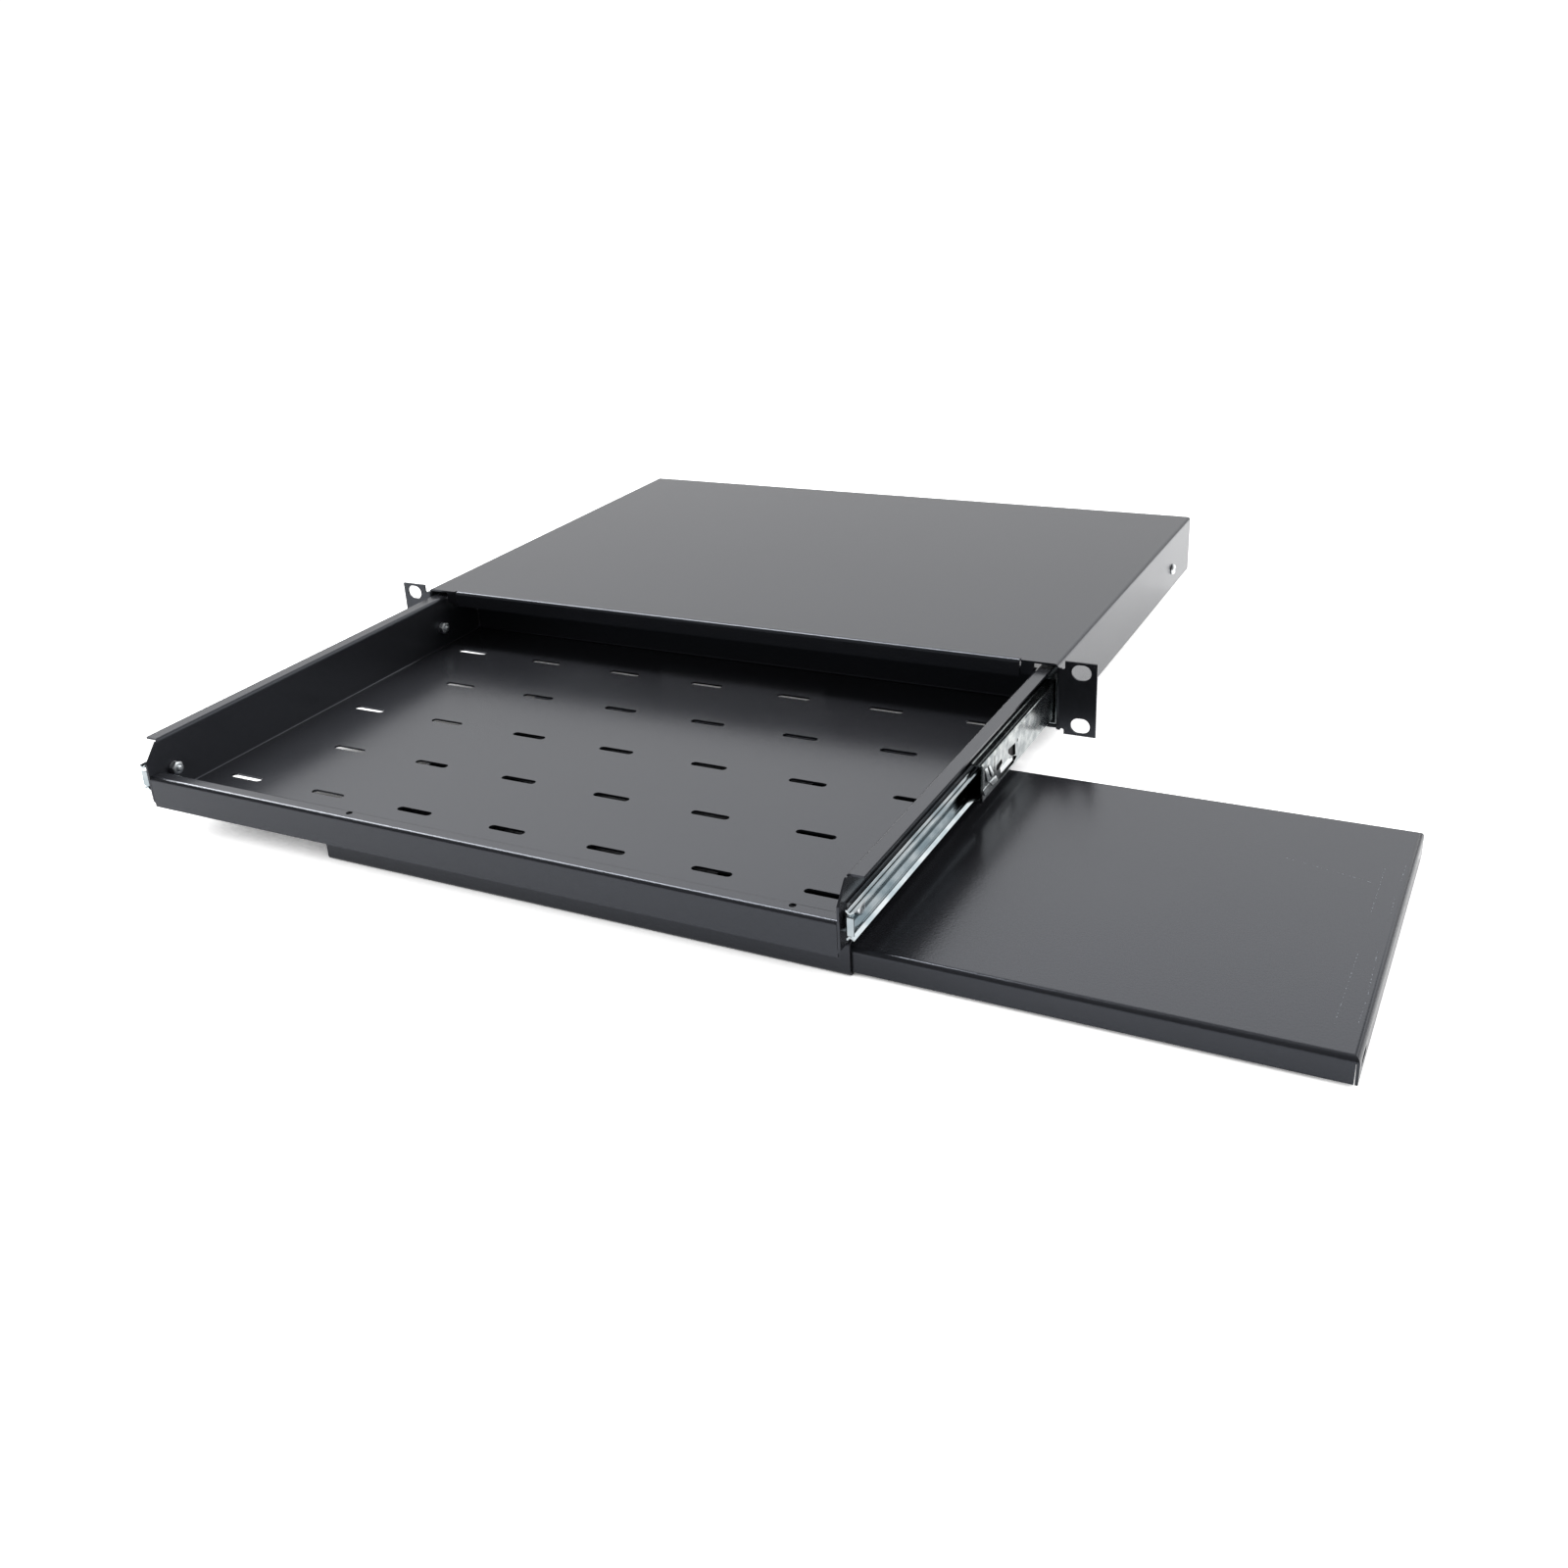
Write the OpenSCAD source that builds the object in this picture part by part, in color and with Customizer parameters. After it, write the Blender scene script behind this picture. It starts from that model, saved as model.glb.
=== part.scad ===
// Rack keyboard drawer with a slide-out mouse tray, drawn open as in use.
// Frame: +X to the right seen from the front, +Y back into the rack, +Z up.
// The origin is the centre of the front face of the rack ears, at their mid-height.

/* [Rack face] */
// Width over both ears
rack_w = 482.6; // [470:0.1:500]
// Height of an ear
ear_h = 43.65; // [42:0.05:44.4]
// Width of an ear's free plate, outside its relief notch
ear_w = 18.1; // [16:0.1:24]
// Distance between the ear slots across the rack
slot_pitch_x = 465.1; // [460:0.1:468]
// Distance between the ear slots up the rack
slot_pitch_z = 31.75; // [28:0.05:32]
// Length of an ear slot
ear_slot_l = 11; // [10:0.1:12.5]
// Height of an ear slot
ear_slot_h = 9; // [6.5:0.1:9.5]

/* [Chassis] */
// Width over the chassis sides
body_w = 438.8; // [430:0.1:440]
// Depth of the chassis behind the ears
body_d = 308; // [290:1:400]
// Height of the chassis top above the middle of the ears
top_z = 19.6; // [19:0.1:20]
// Depth of the chassis underside below the middle of the ears
under_z = 19.8; // [19.7:0.1:20.4]
// Thickness of every folded steel sheet
sheet_t = 1.2; // [1:0.05:1.4]
// Inside radius of a fold
fold_r = 1; // [0.6:0.1:1.4]
// Height of the down-turned front edge of the chassis top
front_flange_h = 10; // [6:0.5:10]
// Height of the down-turned rear edge of the chassis top
rear_flange_h = 15; // [8:0.5:20]
// Width of the in-turned lower edge of a chassis side
side_hem_w = 8; // [5:0.1:8]

/* [Keyboard tray] */
// Distance that the tray slides, from shut to open
tray_travel = 266.6; // [200:0.1:270]
// Height of the tray's side walls above the middle of the ears
wall_top_z = 15.7; // [13:0.1:16]
// Width of the out-turned edge on top of a side wall
wall_flange_w = 7.4; // [4:0.1:7.6]
// Distance of that edge behind the front of the tray
wall_flange_setback = 10.7; // [8:0.1:16]
// Depth of the tray floor below the middle of the ears
floor_z = 17.5; // [16.5:0.1:17.8]
// Depth of the front lip's top below the middle of the ears
lip_top_z = 2.8; // [0:0.1:6]
// Width of the front lip's flat top, front to back
lip_d = 9.3; // [8:0.1:14]
// Height of the tray's rear wall above its floor
rear_wall_h = 20; // [12:0.5:20]

/* [Floor slots] */
// Distance from a side wall to the slots at the ends of the longer rows
slot_side_margin = 15.1; // [8:0.1:40]
// Distance from the front of the tray to the middle of the first row
row_front_margin = 43.6; // [20:0.1:60]
// Distance from the rear of the tray to the middle of the last row
row_rear_margin = 44.4; // [20:0.1:60]
// Slots in the longer rows
slot_count = 7; // [3:1:7]
// Rows of slots
slot_rows = 5; // [2:1:5]
// Length of a slot
slot_l = 22; // [10:0.5:30]
// Width of a slot
slot_w = 4.5; // [2.5:0.1:6]

/* [Slides] */
// How much shorter the middle rail is than the outer and inner rails
middle_short = 38; // [30:1:60]
// Height of the outer rail
outer_h = 28.2; // [27.4:0.1:28.2]
// Height of the middle rail
middle_h = 20.8; // [20.6:0.1:21]
// Height of the inner rail
inner_h = 13; // [12.8:0.1:13.2]
// Width of the whole slide between the tray and the chassis side
slide_w = 10.6; // [10.4:0.05:11]
// Thickness of the rails' steel
rail_t = 1; // [0.9:0.05:1.1]
// Depth of the slide's middle line below the middle of the ears
slide_z = 4.3; // [4:0.1:4.3]
// Diameter of a ball
ball_d = 2.4; // [2:0.05:2.4]
// Balls in each row of a cage
ball_count = 9; // [3:1:9]
// Distance between balls
ball_step = 13; // [6:0.5:14]

/* [Mouse tray] */
// Distance that the mouse tray slides
mouse_travel = 210; // [150:0.5:210]
// Depth of the mouse tray, front to back
mouse_d = 202; // [150:1:202]
// Height of the mouse tray's folded edges
mouse_h = 12.4; // [9:0.1:16]
// Depth of the mouse tray's top below the middle of the ears
mouse_z = 22.3; // [22.2:0.1:24]
// Length of the sleeve that holds the mouse tray
sleeve_l = 301; // [270:1:302]
// Distance of the mouse tray's front behind the front of the keyboard tray
mouse_setback = 12.1; // [12:0.1:16]

/* [Hidden] */

// Colours
black_powder = "#3a3b3e";
zinc = "#c9d0d4";
cage_grey = "#9aa0a2";
ball_steel = "#d7dadc";
rubber_black = "#1c1c1d";
nylon_white = "#e9e7df";

// General clearances
overrun = 1;             // how far a cut runs past the face that it opens
slide_gap = 0.4;         // between pieces that slide past each other
fold_steps = 6;          // flats in each rounded fold
thread_gap = 0.1;        // between a screw and its hole, on the radius

// Chassis
half_body = body_w / 2;
fold_out = fold_r + sheet_t;
corner_relief = 22.5;    // from the chassis side to the end of the down-turned front edge
corner_tab_clear = 1.3;  // between the tab beside that edge and the tray's wall
corner_tab_gap = 0.8;    // from that edge to the tab
corner_tab_setback = 0.8; // of the tab behind the ears' front
corner_tab_h = 8.6;      // from the chassis top to the tab's lower end
ear_inner = rack_w / 2 - ear_w;
ear_notch_r = 1.1;       // of the notch between an ear and its fold
ear_notch_top = 16.9;    // height of the upper notch's end
ear_notch_under = 18.6;
hem_end = half_body - side_hem_w - sheet_t;
rear_flange_inset = 6;   // from the chassis side to the end of the rear edge

// Keyboard tray
rail_front = 3.5;        // from the ear face to the outer rail
rail_rear_gap = 4.5;     // from the outer rail to the chassis's rear face
rail_l = body_d - rail_front - rail_rear_gap; // length of the outer and inner rails
tray_d = rail_l;         // the tray is as deep as its rails are long
tray_front = -tray_travel;
tray_rear = tray_front + tray_d;
wall_out = half_body - sheet_t - slide_w;
wall_in = wall_out - sheet_t;
floor_top = -floor_z;
floor_under = floor_top - sheet_t;
lip_back = tray_front + lip_d;
lip_overhang = 1.8;      // how far the lip's front reaches below the floor's underside
chamfer_low = 4.4;       // height at which a wall's front edge starts to slope back
chamfer_setback = 9;     // how far back that slope ends
lip_end_gap = 0.2;
lip_hole_d = 3.5;
lip_hole_setback = 6;
lip_hole_inset = 24.5;   // from the ends of the sleeve to the holes in the lip
rear_wall_end_gap = 0.5;
cable_notch_w = 120;
cable_notch_h = 6;
pan_fold_relief = 2.4;
slot_step_x = (2 * (wall_in - slot_side_margin) - slot_l) / (slot_count - 1);
slot_step_y = (tray_d - row_front_margin - row_rear_margin) / (slot_rows - 1);

// Slides
middle_l = rail_l - middle_short;
middle_front_shut = 20.3;
inner_setback = 1.1;     // from the front of the tray to the inner rail
share_middle = 1 / 2;    // share of the tray's travel that the middle rail makes
outer_web = half_body - sheet_t;      // outer face of the outer rail
middle_inset = 1.9;
middle_web = outer_web - middle_inset; // outer face of the middle rail
outer_reach = 8.4;       // how far the outer rail's edges reach in
middle_reach = 6.2;
inner_reach = 6.5;
race_lip = 0.7;          // height of the turned-in tip of a rail's edge
race_r = 0.5;            // inside radius of a rail's folds
cage_t = 0.5;
inner_cage_t = 0.4;
outer_cage_gap = 0.3;    // between a cage and the web outside it
inner_cage_gap = 0.4;
outer_cage_x = outer_web - rail_t - outer_cage_gap;
inner_cage_x = middle_web - rail_t - inner_cage_gap;
outer_ball_z = (outer_h / 2 - rail_t + middle_h / 2) / 2;
inner_ball_z = (middle_h / 2 - rail_t + inner_h / 2) / 2;
outer_ball_inset = 3.6;  // from the web outside a ball to its middle
inner_ball_inset = 3.2;
outer_ball_x = outer_web - rail_t - outer_ball_inset;
inner_ball_x = middle_web - rail_t - inner_ball_inset;
outer_cage_front = 14;   // place of the outer cage when the tray is open
inner_cage_front = -100;
cage_end = 4;            // from a cage's end to its first ball
cage_l = 2 * cage_end + (ball_count - 1) * ball_step;
window_front_gap = 20;   // from the front of the middle rail to its window
window_l = 30;
window_h = 9.6;
tab_l = 22;
tab_h = 4;
tab_t = 0.8;
latch_setback = 3;
latch_l = 12;
latch_h = 6;
latch_bridge = 1.2;
buffer_l = 10;
buffer_w = slide_w - inner_reach - rail_t - slide_gap; // clears the inner rail
buffer_gap = 1;          // above and below the buffer
buffer_h = outer_h - 2 * rail_t - 2 * buffer_gap;
buffer_front = middle_front_shut + middle_l + slide_gap;

// Screws, all M4
m4_r = 1.78;             // of the thread, at its pitch line
m4_hole_r = 1.98;
pan_head_r = 3.6;
pan_head_h = 2.2;
crown_r_share = 0.62;    // of the head's radius, where its crown is flat
shoulder_r_share = 0.9;
shoulder_h_share = 0.72; // of the head's height, at its shoulder
rim_h_share = 0.3;
cross_w = 0.9;           // width of the cross recess's arms
cross_l = 3.6;
cross_depth = 1.2;
side_screw_front = 27.5; // from the rail's front end to its first screw
side_screw_rear = 45.5;  // from its rear end to its last screw
tray_bolt_front = 17.6;  // from the front of the tray to its first bolt
tray_bolt_rear = 41.4;   // from the rear of the tray to its last bolt
washer_r = 4.6;
washer_t = 0.7;
tooth_count = 12;
tooth_w = 1.1;
tooth_l = 1;
nut_flats = 7;
nut_t = 3.2;
bolt_tail = 1.4;

// Sleeve and mouse tray
mouse_front = tray_front + mouse_setback;
mouse_rear = mouse_front + mouse_d;
mouse_top = -mouse_z;
mouse_under = mouse_top - mouse_h;
sleeve_inset = 0.6;      // of the sleeve's mouth inside the wall's outer face
sleeve_right = wall_out - sleeve_inset;
sleeve_left = sleeve_right - sleeve_l;
sleeve_side_gap = 0.6;   // between the mouse tray and the sleeve's sides
sleeve_under_gap = 0.4;  // and the sleeve's bottom
sleeve_front = mouse_front - sleeve_side_gap - sheet_t;
sleeve_rear = mouse_rear + sleeve_side_gap + sheet_t;
sleeve_under = mouse_under - sleeve_under_gap - sheet_t;
sleeve_flange_w = 12;
mouse_right = sleeve_right + mouse_travel;
mouse_left = sleeve_left + sheet_t + slide_gap + mouse_travel;
mouse_fold_r = 1.6;
mouse_seam = 0.4;        // between the folded edges at a corner
grip_slot_l = 12;
grip_slot_h = 4;
grip_slot_setback = 12;
grip_slot_drop = 6.2;
glide_l = 24;
glide_w = 8;
glide_inset = 5;         // from the mouth of the sleeve to the first glide
glide_step = 50;
glide_setback = 2;       // from the mouse tray's front and rear edges to the glides
glide_gap = 0.2;
stop_r = 4;
stop_h = 3.6;
stop_stem_r = 2.4;
stop_stem_gap = 0.1;
stop_barb_r = 3.2;
stop_barb_h = 1;
stop_gap = 0.3;
stop_inset = 30;         // from the mouse tray's front and rear edges to the stops

// Direction from one point to another, of length one
function unit(v) = v / norm(v);
// The direction to the left of another
function to_left(v) = [-v[1], v[0]];
function cross_z(a, b) = a[0] * b[1] - a[1] * b[0];
// Points of a round of radius r at corner b
function round_corner(a, b, c, r) =
    let (u = unit(a - b), w = unit(c - b),
         half = acos(u * w) / 2,
         centre = b + unit(u + w) * r / sin(half),
         start = b + u * r / tan(half) - centre,
         end = b + w * r / tan(half) - centre,
         from = atan2(start[1], start[0]),
         raw = atan2(end[1], end[0]) - from,
         sweep = raw > 180 ? raw - 360 : raw < -180 ? raw + 360 : raw)
    [for (i = [0 : fold_steps])
        centre + r * [cos(from + sweep * i / fold_steps), sin(from + sweep * i / fold_steps)]];
// One face of a folded sheet: sharp points made round, with a radius for each way of turning
function rounded(p, r_left, r_right) = concat([p[0]],
    [for (i = [1 : len(p) - 2])
        for (q = round_corner(p[i - 1], p[i], p[i + 1],
            cross_z(p[i] - p[i - 1], p[i + 1] - p[i]) > 0 ? r_left : r_right)) q],
    [p[len(p) - 1]]);
// The other face of the sheet, a thickness t to the left
function shifted(p, t) = [for (i = [0 : len(p) - 1])
    let (back = i > 0 ? to_left(unit(p[i] - p[i - 1])) : to_left(unit(p[1] - p[0])),
         on = i < len(p) - 1 ? to_left(unit(p[i + 1] - p[i])) : back)
    p[i] + (back + on) * t / (1 + back * on)];
function backwards(p) = [for (i = [len(p) - 1 : -1 : 0]) p[i]];
// Outline of a sheet whose right-hand face follows the points p
function sheet(p, t, r) = concat(rounded(p, r + t, r), backwards(rounded(shifted(p, t), r, r + t)));

// Extrusion of an X-Z outline from y0 to y1
module along_y(y0, y1) {
    translate([0, y1, 0]) rotate([90, 0, 0]) linear_extrude(y1 - y0) children();
}
// Extrusion of a Y-Z outline from x0 to x1
module along_x(x0, x1) {
    translate([x0, 0, 0]) rotate([90, 0, 90]) linear_extrude(x1 - x0) children();
}
module block(low, high) {
    translate(low) cube(high - low);
}
// Slot with round ends, long along X
module slot_2d(length, width) {
    side = (length - width) / 2;
    for (x = [-side, side]) translate([x, 0]) circle(d = width, $fn = 48);
    square([2 * side, width], center = true);
}
// A cylinder along X from x0 to x1 at y, z
module rod_x(x0, x1, y, z, r) {
    translate([x0, y, z]) rotate([0, 90, 0]) cylinder(h = x1 - x0, r = r, $fn = 48);
}
module both_sides() {
    children();
    mirror([1, 0, 0]) children();
}

// Chassis

// Where the sides' screws go through
side_screw_y = [rail_front + side_screw_front, rail_front + rail_l - side_screw_rear];

// What is cut away above the height fold_end, with a notch that reaches down to notch_end
module ear_relief(notch_end, fold_end) {
    depth = fold_out + sheet_t + overrun;
    translate([ear_inner - ear_notch_r, -overrun, notch_end + ear_notch_r]) rotate([-90, 0, 0])
        cylinder(h = depth + overrun, r = ear_notch_r, $fn = 48);
    block([ear_inner - 2 * ear_notch_r, -overrun, notch_end + ear_notch_r],
        [ear_inner, depth, ear_h / 2 + overrun]);
    block([outer_web - overrun, -overrun, fold_end],
        [ear_inner - ear_notch_r, depth, ear_h / 2 + overrun]);
}

module ear() {
    difference() {
        translate([0, 0, -ear_h / 2]) linear_extrude(ear_h)
            polygon(sheet([[outer_web, fold_out + sheet_t], [outer_web, 0], [rack_w / 2, 0]],
                sheet_t, fold_r));
        // the fold ends with the chassis, and a notch parts it from the ear, above and below
        ear_relief(ear_notch_top, top_z - fold_out);
        mirror([0, 0, 1]) ear_relief(ear_notch_under, under_z);
        // slots for the rack screws
        for (s = [1, -1]) translate([slot_pitch_x / 2, -overrun, s * slot_pitch_z / 2])
            rotate([-90, 0, 0]) linear_extrude(sheet_t + 2 * overrun) slot_2d(ear_slot_l, ear_slot_h);
    }
}

module shell_outline() {
    polygon(sheet([[hem_end + sheet_t, -under_z], [half_body, -under_z], [half_body, top_z],
        [-half_body, top_z], [-half_body, -under_z], [-hem_end - sheet_t, -under_z]], sheet_t, fold_r));
}

module chassis_shell() {
    flange_end = half_body - corner_relief;
    color(black_powder) {
        difference() {
            union() {
                along_y(fold_out, body_d - fold_out) shell_outline();
                both_sides() {
                    ear();
                    // the top runs out to the front edge at each corner
                    intersection() {
                        along_y(0, fold_out) shell_outline();
                        block([flange_end + corner_tab_gap, -overrun, top_z - sheet_t - fold_r],
                            [half_body, fold_out + overrun, top_z]);
                    }
                    // tab beside the front edge
                    block([flange_end + corner_tab_gap, corner_tab_setback, top_z - corner_tab_h],
                        [wall_in - corner_tab_clear, corner_tab_setback + sheet_t, top_z - sheet_t / 2]);
                }
                // down-turned front and rear edges
                along_x(-flange_end, flange_end) polygon(sheet([[fold_out + sheet_t, top_z], [0, top_z],
                    [0, top_z - front_flange_h]], sheet_t, fold_r));
                along_x(-half_body + rear_flange_inset, half_body - rear_flange_inset)
                    polygon(sheet([[body_d, top_z - rear_flange_h], [body_d, top_z],
                        [body_d - fold_out - sheet_t, top_z]], sheet_t, fold_r));
            }
            for (y = side_screw_y) rod_x(-half_body - overrun, half_body + overrun, y, -slide_z, m4_hole_r);
        }
    }
}

// Pan head with a cross recess and its shank, pointing along +X from the face at x
module pan_screw(x, y, z, shank_l) {
    translate([x, y, z]) rotate([0, 90, 0]) {
        difference() {
            union() {
                rotate_extrude($fn = 48) polygon([[0, -pan_head_h], [pan_head_r * crown_r_share, -pan_head_h],
                    [pan_head_r * shoulder_r_share, -pan_head_h * shoulder_h_share],
                    [pan_head_r, -pan_head_h * rim_h_share], [pan_head_r, 0], [0, 0]]);
                cylinder(h = shank_l, r = m4_r, $fn = 48);
            }
            for (a = [0, 90]) rotate([0, 0, a]) translate([-cross_l / 2, -cross_w / 2, -pan_head_h - overrun])
                cube([cross_l, cross_w, cross_depth + overrun]);
        }
    }
}

module rail_screws() {
    color(zinc) both_sides() mirror([1, 0, 0])
        for (y = side_screw_y) pan_screw(-half_body, y, -slide_z, sheet_t + rail_t);
}

// Slides, drawn on the right-hand side and mirrored for the left

// A C-shaped rail: web at x, edges that reach in, tips turned towards the middle line
module rail_outline(x, height, reach, lip) {
    h = height / 2;
    polygon(sheet(lip > 0
        ? [[x - reach, -slide_z - h + rail_t + lip], [x - reach, -slide_z - h], [x, -slide_z - h],
            [x, -slide_z + h], [x - reach, -slide_z + h], [x - reach, -slide_z + h - rail_t - lip]]
        : [[x - reach, -slide_z - h], [x, -slide_z - h], [x, -slide_z + h], [x - reach, -slide_z + h]],
        rail_t, race_r));
}

module outer_rail() {
    color(zinc) difference() {
        along_y(rail_front, rail_front + rail_l) rail_outline(outer_web, outer_h, outer_reach, race_lip);
        for (y = side_screw_y) rod_x(outer_web - outer_reach, outer_web + overrun, y, -slide_z,
            m4_r + thread_gap);
    }
}

// Rubber buffer in the rear of each outer rail, which the middle rail meets when the tray is shut
module rail_buffers() {
    color(rubber_black) both_sides()
        block([outer_web - rail_t - buffer_w, buffer_front, -slide_z - buffer_h / 2],
            [outer_web - rail_t, buffer_front + buffer_l, -slide_z + buffer_h / 2]);
}

module middle_rail() {
    front = middle_front_shut - tray_travel * share_middle;
    window_y = front + window_front_gap;
    tab_y = window_y + (window_l - tab_l) / 2;
    color(zinc) {
        difference() {
            along_y(front, front + middle_l) rail_outline(middle_web, middle_h, middle_reach, 0);
            // window for the latch tab
            block([middle_web - rail_t - overrun, window_y, -slide_z - window_h / 2],
                [middle_web + overrun, window_y + window_l, -slide_z + window_h / 2]);
            // slit around the front latch
            block([middle_web - rail_t - overrun, front + latch_setback, -slide_z - latch_h / 2],
                [middle_web + overrun, front + latch_setback + latch_l,
                    -slide_z - latch_h / 2 + latch_bridge]);
        }
        // latch tab, left standing in the window by its front end
        block([middle_web - rail_t, window_y - overrun, -slide_z - tab_h / 2],
            [middle_web - rail_t + tab_t, tab_y + tab_l, -slide_z + tab_h / 2]);
    }
}

// The inner rail opens outwards, so that its web lies on the tray wall
module inner_rail() {
    front = tray_front + inner_setback;
    h = inner_h / 2;
    color(zinc) difference() {
        union() {
            along_y(front, front + rail_l) polygon(sheet([[wall_out + inner_reach, -slide_z + h],
                [wall_out, -slide_z + h], [wall_out, -slide_z - h], [wall_out + inner_reach, -slide_z - h]],
                rail_t, race_r));
            // folded front end
            block([wall_out, front, -slide_z - h + rail_t], [wall_out + inner_reach, front + rail_t,
                -slide_z + h - rail_t]);
        }
        for (y = tray_bolt_y) rod_x(wall_out - overrun, wall_out + inner_reach, y, -slide_z, m4_hole_r);
    }
}

// A ball cage: a strip beside a rail's web with an arm above and below it
module cage(x, t, front, arm_z, ball_x) {
    difference() {
        for (s = [1, -1]) union() {
            block([ball_x - ball_d, front, -slide_z + s * arm_z - t / 2],
                [x, front + cage_l, -slide_z + s * arm_z + t / 2]);
            block([x - t, front, min(-slide_z, -slide_z + s * arm_z)],
                [x, front + cage_l, max(-slide_z, -slide_z + s * arm_z)]);
        }
        for (s = [1, -1], i = [0 : ball_count - 1])
            translate([ball_x, front + cage_end + i * ball_step, -slide_z + s * arm_z - t])
                cylinder(h = 2 * t, r = ball_d / 2 + thread_gap, $fn = 24);
    }
}

module balls(front, arm_z, ball_x) {
    for (s = [1, -1], i = [0 : ball_count - 1])
        translate([ball_x, front + cage_end + i * ball_step, -slide_z + s * arm_z])
            sphere(d = ball_d, $fn = 24);
}

module outer_cage() color(cage_grey)
    cage(outer_cage_x, cage_t, outer_cage_front, outer_ball_z, outer_ball_x);
module inner_cage() color(cage_grey)
    cage(inner_cage_x, inner_cage_t, inner_cage_front, inner_ball_z, inner_ball_x);
module outer_balls() color(ball_steel) balls(outer_cage_front, outer_ball_z, outer_ball_x);
module inner_balls() color(ball_steel) balls(inner_cage_front, inner_ball_z, inner_ball_x);

// Keyboard tray

tray_bolt_y = [tray_front + tray_bolt_front, tray_rear - tray_bolt_rear];

module pan_walls() {
    difference() {
        along_y(tray_front, tray_rear) polygon(sheet([[wall_out + wall_flange_w, wall_top_z],
            [wall_in, wall_top_z], [wall_in, floor_top], [-wall_in, floor_top],
            [-wall_in, wall_top_z], [-wall_out - wall_flange_w, wall_top_z]], sheet_t, fold_r));
        // the walls stand alone in front, where the lip takes the floor's place
        block([-wall_in + pan_fold_relief, tray_front - overrun, floor_under - overrun],
            [wall_in - pan_fold_relief, lip_back + fold_out, wall_top_z]);
        // and the floor ends at the rear wall's fold
        block([-wall_in + rear_wall_end_gap, tray_rear - fold_out, floor_under - overrun],
            [wall_in - rear_wall_end_gap, tray_rear + overrun, wall_top_z]);
        // sloped front end of each wall
        both_sides() along_x(wall_in - overrun, wall_out + wall_flange_w + overrun)
            polygon([[tray_front - overrun, chamfer_low], [tray_front, chamfer_low],
                [tray_front + chamfer_setback, wall_top_z - sheet_t],
                [tray_front + wall_flange_setback, wall_top_z - sheet_t],
                [tray_front + wall_flange_setback, wall_top_z + overrun],
                [tray_front - overrun, wall_top_z + overrun]]);
        // the out-turned edge starts further back than the wall
        both_sides() block([wall_out, tray_front - overrun, wall_top_z - fold_out],
            [wall_out + wall_flange_w + overrun, tray_front + wall_flange_setback, wall_top_z + overrun]);
    }
}

module pan_lip() {
    along_x(-wall_in + lip_end_gap, wall_in - lip_end_gap)
        polygon(sheet([[lip_back + 2 * fold_out, floor_top], [lip_back, floor_top],
            [lip_back, -lip_top_z], [tray_front, -lip_top_z],
            [tray_front, floor_under - lip_overhang]], sheet_t, fold_r));
}

module pan_rear_wall() {
    difference() {
        along_x(-wall_in + rear_wall_end_gap, wall_in - rear_wall_end_gap)
            polygon(sheet([[tray_rear - 2 * fold_out, floor_under], [tray_rear, floor_under],
                [tray_rear, floor_top + rear_wall_h]], sheet_t, fold_r));
        block([-cable_notch_w / 2, tray_rear - 2 * sheet_t, floor_top + rear_wall_h - cable_notch_h],
            [cable_notch_w / 2, tray_rear + overrun, floor_top + rear_wall_h + overrun]);
    }
}

module floor_slots() {
    first = tray_front + row_front_margin;
    for (row = [0 : slot_rows - 1]) {
        count = slot_count - row % 2;
        for (i = [0 : count - 1])
            translate([(i - (count - 1) / 2) * slot_step_x, first + row * slot_step_y, floor_under - overrun])
                linear_extrude(sheet_t + 2 * overrun) slot_2d(slot_l, slot_w);
    }
}

module keyboard_pan() {
    color(black_powder) difference() {
        union() {
            pan_walls();
            pan_lip();
            pan_rear_wall();
        }
        floor_slots();
        for (x = [sleeve_left + lip_hole_inset, sleeve_right - lip_hole_inset])
            translate([x, tray_front + lip_hole_setback, -lip_top_z - sheet_t - overrun])
                cylinder(h = sheet_t + 2 * overrun, d = lip_hole_d, $fn = 32);
        for (y = tray_bolt_y) rod_x(-wall_out - overrun, wall_out + overrun, y, -slide_z, m4_hole_r);
    }
}

// Bolts through the inner rail and the wall, with their heads in the rail's channel
module tray_bolts() {
    length = rail_t + sheet_t + washer_t + nut_t + bolt_tail;
    color(zinc) both_sides() mirror([1, 0, 0])
        for (y = tray_bolt_y) pan_screw(-wall_out - rail_t, y, -slide_z, length);
}

module tray_washers() {
    color(zinc) both_sides() for (y = tray_bolt_y) difference() {
        union() {
            rod_x(wall_in - washer_t, wall_in, y, -slide_z, washer_r - tooth_l);
            for (i = [0 : tooth_count - 1]) translate([0, y, -slide_z])
                rotate([i * 360 / tooth_count, 0, 0])
                    block([wall_in - washer_t, 0, -tooth_w / 2], [wall_in, washer_r, tooth_w / 2]);
        }
        rod_x(wall_in - washer_t - overrun, wall_in + overrun, y, -slide_z, m4_r + thread_gap);
    }
}

module tray_nuts() {
    face = wall_in - washer_t;
    color(zinc) both_sides() for (y = tray_bolt_y) difference() {
        translate([face - nut_t, y, -slide_z]) rotate([0, 90, 0])
            cylinder(h = nut_t, d = nut_flats / cos(30), $fn = 6);
        rod_x(face - nut_t - overrun, face + overrun, y, -slide_z, m4_r + thread_gap);
    }
}

// Sleeve under the keyboard tray

stop_x = mouse_left + sheet_t + stop_gap + stop_r;
stop_y = [mouse_front + stop_inset, mouse_rear - stop_inset];

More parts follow.
